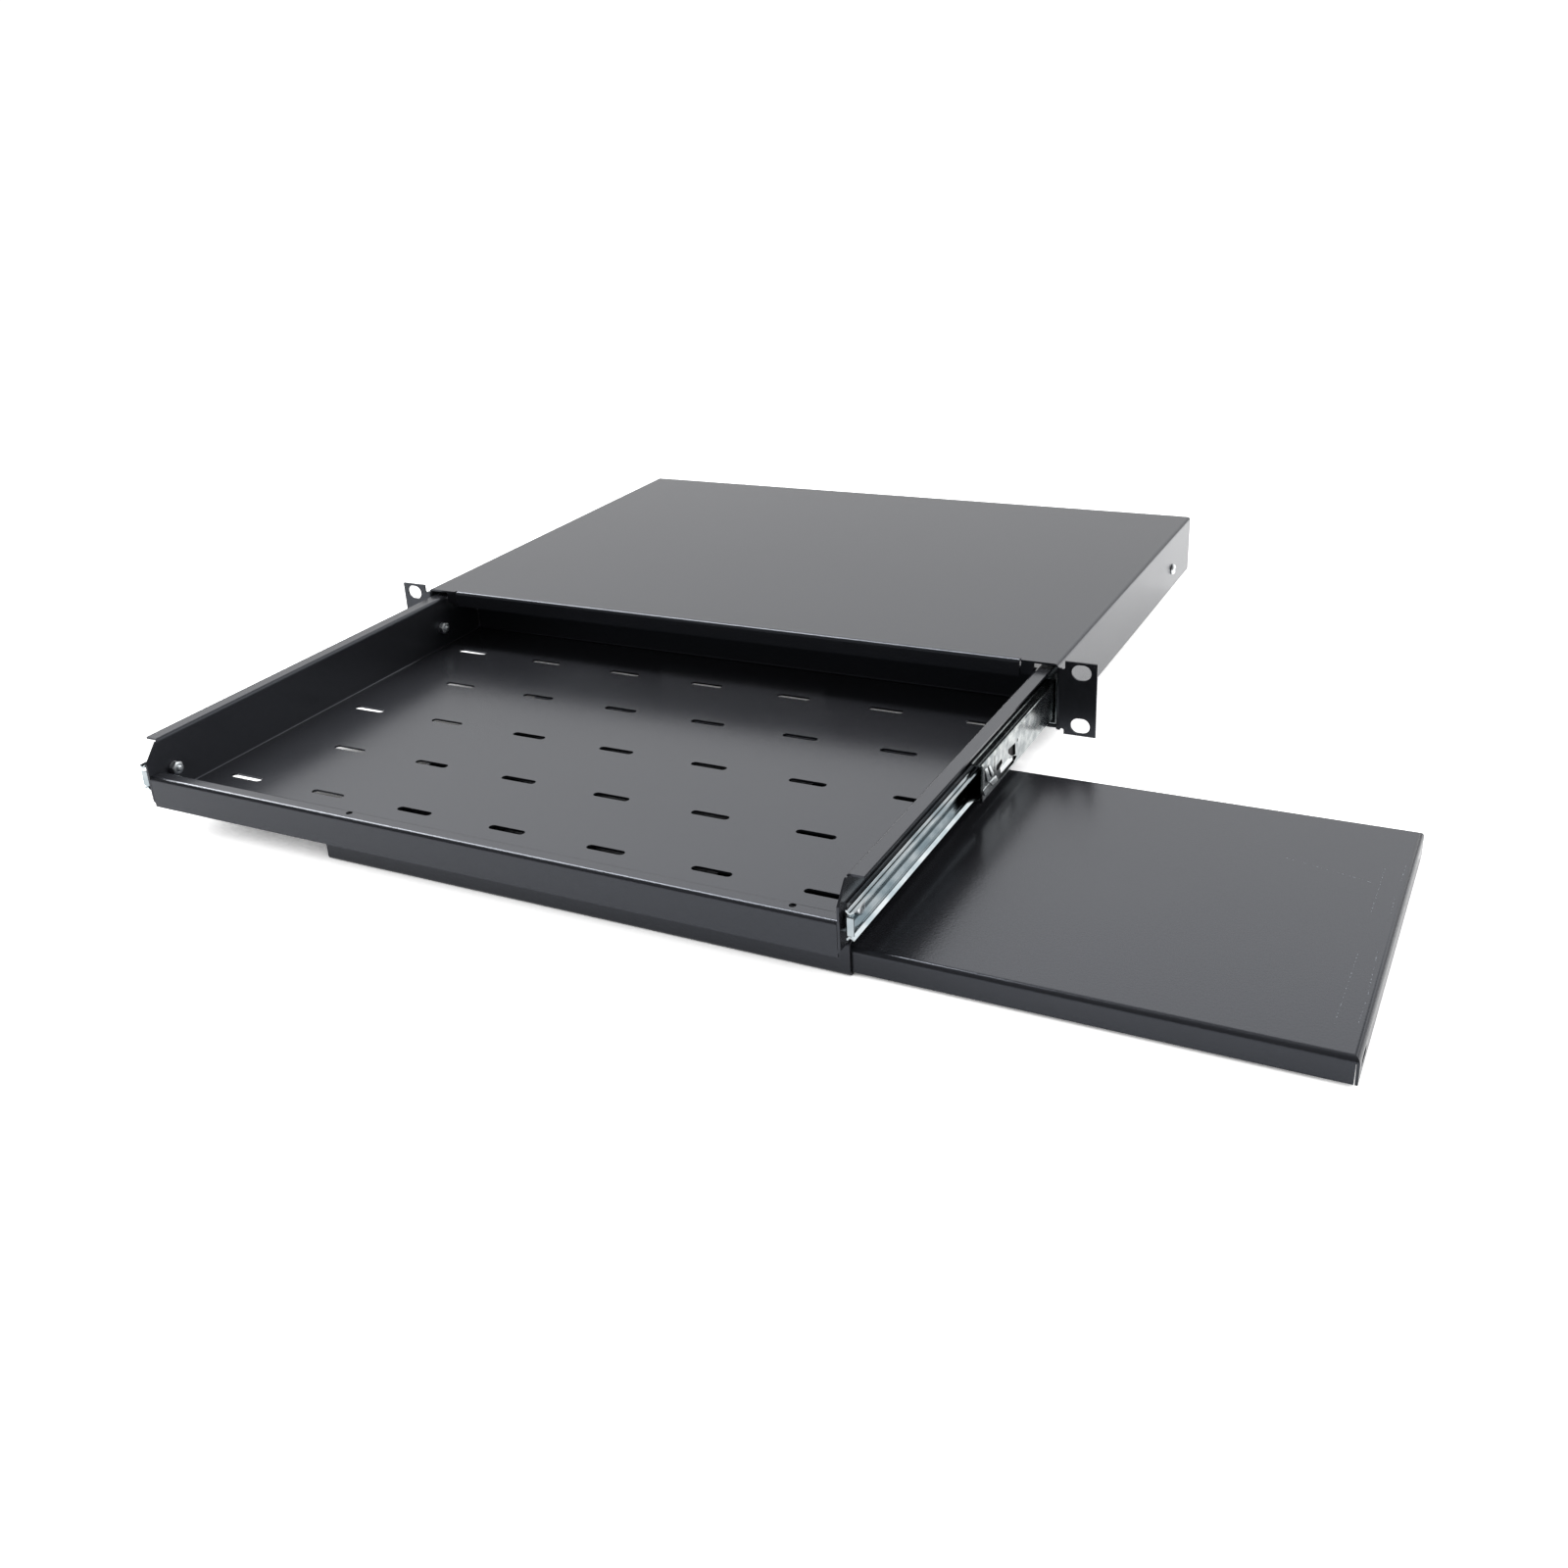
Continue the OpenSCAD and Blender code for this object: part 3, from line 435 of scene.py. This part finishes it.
# X of a row, Y of its first ball, and how far it is above or below the middle line
BALL_ROWS = {"outer": (213.6, 18, 11.75), "inner": (212.1, -96, 7.95)}
BALL_POLISH = 0.0005 * MM


def set_out(name, master, spots, material):
    """The master piece at each spot, a place in mm and a turn, made by Geometry Nodes into a plain mesh."""
    points = bpy.data.meshes.new(name)
    points.from_pydata([Vector(place) * MM for place, _ in spots], [], [])
    turns = points.attributes.new("turn", "FLOAT_VECTOR", "POINT")
    for spot, (_, turn) in zip(turns.data, spots):
        spot.vector = turn
    piece = place_mesh(name, points)
    tree = bpy.data.node_groups.new(name, "GeometryNodeTree")
    for label, kind in (("Spots", "NodeSocketGeometry"), ("Master", "NodeSocketObject"),
                        ("Finish", "NodeSocketMaterial")):
        tree.interface.new_socket(label, in_out="INPUT", socket_type=kind)
    tree.interface.new_socket("Pieces", in_out="OUTPUT", socket_type="NodeSocketGeometry")
    given = add(tree, "NodeGroupInput")
    model = add(tree, "GeometryNodeObjectInfo", {}, {"Object": given.outputs["Master"]})
    turn = add(tree, "GeometryNodeInputNamedAttribute", {"data_type": "FLOAT_VECTOR", "Name": "turn"})
    turn = add(tree, "FunctionNodeEulerToRotation", {}, {"Euler": turn})
    copies = add(tree, "GeometryNodeInstanceOnPoints", {},
                 {"Points": given.outputs["Spots"], "Instance": model.outputs["Geometry"], "Rotation": turn})
    real = add(tree, "GeometryNodeRealizeInstances", {}, {"Geometry": copies})
    done = add(tree, "GeometryNodeSetMaterial", {}, {"Geometry": real, "Material": given.outputs["Finish"]})
    add(tree, "NodeGroupOutput", {}, {"Pieces": done})
    spread = piece.modifiers.new("set out", "NODES")
    spread.node_group = tree
    sockets = {item.name: item.identifier for item in tree.interface.items_tree if item.in_out == "INPUT"}
    spread[sockets["Master"]] = master
    spread[sockets["Finish"]] = material
    return settle(piece)


# bare steel: a dull grey sheen on the cages, a clear mirror on the balls
dull_steel = zinc_plating("pressed cage steel", tints=("#a3a8aa", "#8f9597"), rough_range=(0.3, 0.45))
bright_steel = zinc_plating("hardened ball steel", tints=("#e2e4e5", "#d9dcde"), rough_range=(0.05, 0.1),
                            depth=BALL_POLISH)
ball = place_mesh("ball", mesh_from("ball", lambda net: bmesh.ops.create_uvsphere(
    net, u_segments=16, v_segments=10, radius=BALL_R * MM)))
ball.data.shade_smooth()
for place, (x, first, z) in BALL_ROWS.items():
    for word, side in SIDES:
        spots = [((x * side, first + i * BALL_STEP, SLIDE_Z + z * edge), (0, 0, 0))
                 for edge in (1, -1) for i in range(BALL_COUNT)]
        name = "%s_balls_%s" % (place, word)
        hand_over(set_out(name + "_ground", ball, spots, bright_steel), "%s_cage_%s" % (place, word),
                  "ball_steel", name)
        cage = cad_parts["%s_cage_%s" % (place, word)]
        for i in range(len(cage.data.materials)):
            cage.data.materials[i] = dull_steel
bpy.data.objects.remove(ball)

# Screws, bolts, washers and nuts
# Zinc-plated M4 pan heads with a cross recess hold the outer rails to the chassis and the inner rails to
# the tray, where a toothed washer and a nut take each bolt inside the tray.

# Outlines are place along the axis and radius, in mm.
THREAD_PITCH, THREAD_R, ROOT_R = 0.7, 1.84, 1.6
THREAD_SHAPE = ((0.35, ROOT_R), (0.65, THREAD_R), (0.8, THREAD_R), (1.0, ROOT_R))    # shares of a turn
SHANK_TIP = ((0.5, 1.79), (0.15, 1.3), (0, 0.7), (0, 0))     # places from the shank's end
PAN_HEAD = ((2.2, 0), (2.18, 1.2), (2.06, 2.2), (1.78, 2.95), (1.2, 3.45), (0.5, 3.6), (0.12, 3.58),
            (0, 3.45), (0, THREAD_R))
HEAD_H = PAN_HEAD[0][0]
RECESS_L, RECESS_W, RECESS_DEEP = 3.5, 0.85, 1.3
SCREW_L, BOLT_L, SCREW_EDGE = 2.4, 7.7, 0.1 * MM
NUT_FLATS, NUT_T, NUT_EDGE = 7.0, 3.2, 0.08 * MM
NUT_ROUND = ((-3.2, 0), (-3.2, 2.5), (-2.95, 3.2), (-2.25, 4.15), (-0.4, 4.15), (0, 3.45), (0, 0))
NUT_BORE = ((-4.2, 0), (-4.2, 2.14), (-3.2, 2.14), (-2.9, 1.84), (1, 1.84), (1, 0))
WASHER_T, WASHER_BORE, WASHER_RIM, TEETH, WASHER_EDGE = 0.5, 2.0, 3.6, 12, 0.06 * MM
TOOTH = ((3.4, 0.45), (4.6, 0.62))    # radius and half width at its root and at its tip
TOOTH_TWIST = radians(17)
CHASSIS_SIDE, INNER_WEB_FACE, WALL_INSIDE = 219.4, 208.8, 206.4
NUT_FACE = 205.7         # the washer lies between the nut and the wall
TURN_EACH = 0.3          # radians for each mm of Y, so that no two screws stand alike
TURNED_LINE = 0.5 * MM


def turned_into(net, outline, steps=32):
    """A body turned about the X axis from an outline of place and radius that starts and ends on it."""
    rings = []
    for x, r in outline:
        around = disc(0, 0, r, steps)[:steps if r else 1]
        rings.append([net.verts.new((x * MM, y * MM, z * MM)) for y, z in around])
    for a, b in zip(rings, rings[1:]):
        for i in range(steps):
            j = (i + 1) % steps
            corners = [a[i % len(a)], a[j % len(a)], b[j % len(b)], b[i % len(b)]]
            net.faces.new(list(dict.fromkeys(corners)))


def block_into(net, low, high):
    """A block between two corners, in mm."""
    made = bmesh.ops.create_cube(net, size=1)["verts"]
    for vert in made:
        vert.co = Vector([(a + b) / 2 + (b - a) * c for a, b, c in zip(low, high, vert.co)]) * MM


def threaded(length):
    """Outline of a shank from under its head to its end, with a ridge for each turn of the thread."""
    turns = int((length - 1) / THREAD_PITCH)
    ridges = [(-THREAD_PITCH * (i + share), r) for i in range(turns) for share, r in THREAD_SHAPE]
    return tuple(ridges + [(place - length, r) for place, r in SHANK_TIP])


def pan_screw(name, length):
    """A screw along the X axis with a cross in its head."""
    screw = place_mesh(name, mesh_from(name, lambda net: turned_into(net, PAN_HEAD + threaded(length))))
    for y, z in ((RECESS_L / 2, RECESS_W / 2), (RECESS_W / 2, RECESS_L / 2)):
        cut(screw, lambda net: block_into(net, (HEAD_H - RECESS_DEEP, -y, -z), (HEAD_H + RECESS_DEEP, y, z)))
    return round_edges(screw, SCREW_EDGE, sharp=50)


def hexagon_nut():
    """A hexagon with its corners turned down at both faces, and a countersunk bore."""
    corner = NUT_FLATS / 2 / cos(pi / 6)
    nut = place_mesh("nut", mesh_from("nut", lambda net: turned_into(
        net, ((-NUT_T, 0), (-NUT_T, corner), (0, corner), (0, 0)), steps=6)))
    cut(nut, lambda net: turned_into(net, NUT_ROUND), "INTERSECT")
    cut(nut, lambda net: turned_into(net, NUT_BORE))
    return round_edges(nut, NUT_EDGE, sharp=25)


def tooth_washer():
    """A ring with teeth around its rim, each twisted so that it bites."""
    def build(net):
        turned_into(net, ((0, WASHER_BORE), (0, WASHER_RIM), (-WASHER_T, WASHER_RIM),
                          (-WASHER_T, WASHER_BORE), (0, WASHER_BORE)))
        bmesh.ops.remove_doubles(net, verts=net.verts, dist=SAME_POINT)
        half_t = WASHER_T / 2
        for i in range(TEETH):
            lean = Matrix.Rotation(2 * pi * i / TEETH, 3, "X") @ Matrix.Rotation(TOOTH_TWIST, 3, "Y")
            ends = [[net.verts.new((lean @ Vector((x * half_t, w * half, r)) - Vector((half_t, 0, 0))) * MM)
                     for x, w in ((-1, -1), (-1, 1), (1, 1), (1, -1))] for r, half in TOOTH]
            net.faces.new(ends[0])
            net.faces.new(ends[1])
            for j in range(4):
                net.faces.new([ends[0][j], ends[0][j - 1], ends[1][j - 1], ends[1][j]])
    return round_edges(place_mesh("washer", mesh_from("washer", build)), WASHER_EDGE)


# pale and grainy, so that small parts catch light from all round
turned_zinc = zinc_plating("bright zinc on small fasteners", lines=(1 / TURNED_LINE,) * 3,
                           tints=("#eef1f2", "#dce2e5"), rough_range=(0.3, 0.42))
for name, master, body, face, rows in (
        ("rail_screws", pan_screw("screw", SCREW_L), "chassis", CHASSIS_SIDE, SCREW_Y),
        ("tray_bolts", pan_screw("bolt", BOLT_L), "keyboard_tray", INNER_WEB_FACE, BOLT_Y),
        ("tray_washers", tooth_washer(), "keyboard_tray", WALL_INSIDE, BOLT_Y),
        ("tray_nuts", hexagon_nut(), "keyboard_tray", NUT_FACE, BOLT_Y)):
    spots = [((face * side, y, SLIDE_Z), (TURN_EACH * side * y, 0, 0 if side > 0 else pi))
             for _, side in SIDES for y in rows]
    hand_over(set_out(name + "_plated", master, spots, turned_zinc), body, "screw_zinc", name)
    bpy.data.objects.remove(master)

# Rubber and nylon
# Black rubber buffers end the middle rails' travel and black rubber stops keep the mouse tray in its
# sleeve. White nylon glides carry the mouse tray.

MOULDED_SHADE = 6 * MM
MOULDED_EDGE = 0.5 * MM
RUBBER_GRAIN, RUBBER_DEPTH = 0.5 * MM, 0.02 * MM
NYLON_GRAIN, NYLON_DEPTH = 0.7 * MM, 0.008 * MM


def moulded(name, shades, rough_range, grain, depth, subsurface=0.0):
    """A moulded surface: matt, finely grained, with a little variation in its shade."""
    material, tree = new_material(name)
    place = add(tree, "ShaderNodeTexCoord").outputs["Object"]
    fine = add(tree, "ShaderNodeTexNoise", {"Scale": 1 / grain, "Detail": 3}, {"Vector": place})
    broad = add(tree, "ShaderNodeTexNoise", {"Scale": 1 / MOULDED_SHADE, "Detail": 2}, {"Vector": place})
    shade = add(tree, "ShaderNodeMix", {"data_type": "RGBA", "A": colour(shades[0]), "B": colour(shades[1])},
                {"Factor": broad})
    rough = add(tree, "ShaderNodeMapRange", {"To Min": rough_range[0], "To Max": rough_range[1]},
                {"Value": fine})
    relief = add(tree, "ShaderNodeBump", {"Strength": 1.0, "Distance": depth}, {"Height": fine})
    body = add(tree, "ShaderNodeBsdfPrincipled", {"Subsurface Weight": subsurface, "Subsurface Scale": MM},
               {"Base Color": shade, "Roughness": rough, "Normal": relief})
    add(tree, "ShaderNodeOutputMaterial", links={"Surface": body})
    return material


# matt black, and a milky white that lets a little light in
rubber = moulded("black moulded rubber", ("#19191a", "#202021"), (0.6, 0.8), RUBBER_GRAIN, RUBBER_DEPTH)
nylon = moulded("white moulded nylon", ("#e6e3da", "#dedbd1"), (0.35, 0.5), NYLON_GRAIN, NYLON_DEPTH,
                subsurface=0.3)
for name, body, slot, finish in (("rail_buffers", "chassis", "black_rubber", rubber),
                                 ("sleeve_stops", "keyboard_tray", "black_rubber", rubber),
                                 ("sleeve_glides", "keyboard_tray", "white_nylon", nylon)):
    piece = finished_copy(name, name + "_moulded", finish, MOULDED_EDGE)
    hand_over(piece, body, slot, name)

# Camera
# At the photograph's place: 30 degrees round to the right of the drawer and 24 above it, and a little
# rolled.

CAMERA_AT = Vector((0.46036, -0.79189, 0.33802))

camera_data = bpy.data.cameras.new("camera")
camera_data.sensor_width = 36
camera_data.lens = 36.024
camera_data.shift_x, camera_data.shift_y = 0.0358, -0.0257
camera_data.clip_start, camera_data.clip_end = 0.05, 60
camera = bpy.data.objects.new("camera", camera_data)
bpy.context.scene.collection.objects.link(camera)
turn, tilt, roll = radians(29.851), radians(23.614), radians(3.902)
look = Vector((-sin(turn) * cos(tilt), cos(turn) * cos(tilt), -sin(tilt)))
level = look.cross(Vector((0, 0, 1))).normalized()
down = look.cross(level)
right = cos(roll) * level + sin(roll) * down
up = sin(roll) * level - cos(roll) * down
camera.matrix_world = Matrix.Translation(CAMERA_AT) @ Matrix(
    (right, up, -look)).transposed().to_4x4()
bpy.context.scene.camera = camera

# Studio
# A sheet of white paper lies just under the sleeve. The room's rear wall is lit, brightest some way up,
# and gives the flat tops their sheen. The room in front is dim. A long softbox overhead lights the drawer,
# and a wider panel round it is seen only in gloss, as the bright lines along the folds.

FLOOR_Z, FLOOR_SIZE = -36.8 * MM, 50
PAPER = "#f4f4f4"
OPEN = (0.08, 0.26)      # how open to the room the paper is where its glow starts and is full
REACH = 150 * MM         # how far away a piece still shades the glow
MIRRORED_Y, MIRRORED = (-0.1, 0.9), (0.72, 1.7)   # the paper is brighter in gloss further back
FRONT_WALL = 0.2
REAR_WALL = ((0.0, 1.2), (0.14, 0.95), (0.24, 0.85), (0.40, 1.37), (0.54, 1.85), (0.62, 1.7),
             (0.8, 0.45), (1.0, 0.4))    # height on the sky and level
WALL_PEAK = 2.5
WALL_SIDES = (-0.15, 0.25)    # where the rear wall fades into the room in front
LAMP_AT = Vector((-1.15, 0.2, 1.75))
LAMP_L = 2.2
# width, watts, and whether it lights surfaces or is seen only in their gloss
LAMPS = (("overhead softbox", 0.36, 26, True), ("panel seen in gloss", 0.8, 100, False))

away = LAMP_AT.normalized()
short_side = away.cross(Vector((1, 0, 0))).normalized()
for name, width, watts, lights_surfaces in LAMPS:
    lamp_data = bpy.data.lights.new(name, "AREA")
    lamp_data.shape, lamp_data.size, lamp_data.size_y = "RECTANGLE", LAMP_L, width
    lamp_data.energy = watts
    lamp = bpy.data.objects.new(name, lamp_data)
    bpy.context.scene.collection.objects.link(lamp)
    lamp.matrix_world = Matrix.Translation(LAMP_AT) @ Matrix(
        (short_side.cross(away), short_side, away)).transposed().to_4x4()
    lamp.visible_diffuse = lights_surfaces

paper, tree = new_material("white paper sweep")
card = add(tree, "ShaderNodeBsdfDiffuse", {"Color": colour(PAPER)})
ray = add(tree, "ShaderNodeLightPath")
shade = add(tree, "ShaderNodeAmbientOcclusion", {"Distance": REACH, "samples": 8})
shade = add(tree, "ShaderNodeMapRange", {"From Min": OPEN[0], "From Max": OPEN[1]},
            {"Value": shade.outputs["AO"]})
place = add(tree, "ShaderNodeTexCoord").outputs["Object"]
distance = add(tree, "ShaderNodeSeparateXYZ", {}, {"Vector": place})
sheen = add(tree, "ShaderNodeMapRange", {"From Min": MIRRORED_Y[0], "From Max": MIRRORED_Y[1],
                                         "To Min": MIRRORED[0], "To Max": MIRRORED[1]},
            {"Value": distance.outputs["Y"]})
mirrored = add(tree, "ShaderNodeMath", {"operation": "MULTIPLY"},
               {"Value": sheen, "Value_001": ray.outputs["Is Glossy Ray"]})
strength = add(tree, "ShaderNodeMath", {"operation": "MAXIMUM"},
               {"Value": ray.outputs["Is Camera Ray"], "Value_001": mirrored})
strength = add(tree, "ShaderNodeMath", {"operation": "MULTIPLY"}, {"Value": strength, "Value_001": shade})
glow = add(tree, "ShaderNodeEmission", {"Color": (1, 1, 1, 1)}, {"Strength": strength})
both = add(tree, "ShaderNodeAddShader", {}, {"Shader": card, "Shader_001": glow})
# seen from below, the paper lets the drawer's underside show
below = add(tree, "ShaderNodeNewGeometry").outputs["Backfacing"]
clear = add(tree, "ShaderNodeBsdfTransparent")
one_sided = add(tree, "ShaderNodeMixShader", {}, {"Fac": below, "Shader": both, "Shader_001": clear})
add(tree, "ShaderNodeOutputMaterial", links={"Surface": one_sided})
bpy.ops.mesh.primitive_plane_add(size=FLOOR_SIZE, location=(0, 0, FLOOR_Z))
floor = bpy.context.object
floor.name = "floor"
floor.data.materials.append(paper)

world = bpy.data.worlds.new("white room")
bpy.context.scene.world = world
world.use_nodes = True
tree = world.node_tree
tree.nodes.clear()
way = add(tree, "ShaderNodeTexCoord").outputs["Generated"]
way = add(tree, "ShaderNodeSeparateXYZ", {}, {"Vector": way})
wall = add(tree, "ShaderNodeFloatCurve", {}, {"Value": way.outputs["Z"]})
curve = wall.mapping.curves[0]
for at, (height, bright) in zip((0, -1), (REAR_WALL[0], REAR_WALL[-1])):
    curve.points[at].location = (height, bright / WALL_PEAK)
for height, bright in REAR_WALL[1:-1]:
    curve.points.new(height, bright / WALL_PEAK)
wall.mapping.update()
wall = add(tree, "ShaderNodeMath", {"operation": "MULTIPLY", "Value_001": WALL_PEAK}, {"Value": wall})
behind = add(tree, "ShaderNodeMapRange", {"From Min": WALL_SIDES[0], "From Max": WALL_SIDES[1]},
             {"Value": way.outputs["Y"]})
room = add(tree, "ShaderNodeMix", {"data_type": "FLOAT", "A": FRONT_WALL}, {"Factor": behind, "B": wall})
ray = add(tree, "ShaderNodeLightPath")
strength = add(tree, "ShaderNodeMath", {"operation": "MAXIMUM"},
               {"Value": room, "Value_001": ray.outputs["Is Camera Ray"]})
light = add(tree, "ShaderNodeBackground", {"Color": (1, 1, 1, 1)}, {"Strength": strength})
add(tree, "ShaderNodeOutputWorld", links={"Surface": light})
bpy.context.scene.view_settings.view_transform = "Standard"
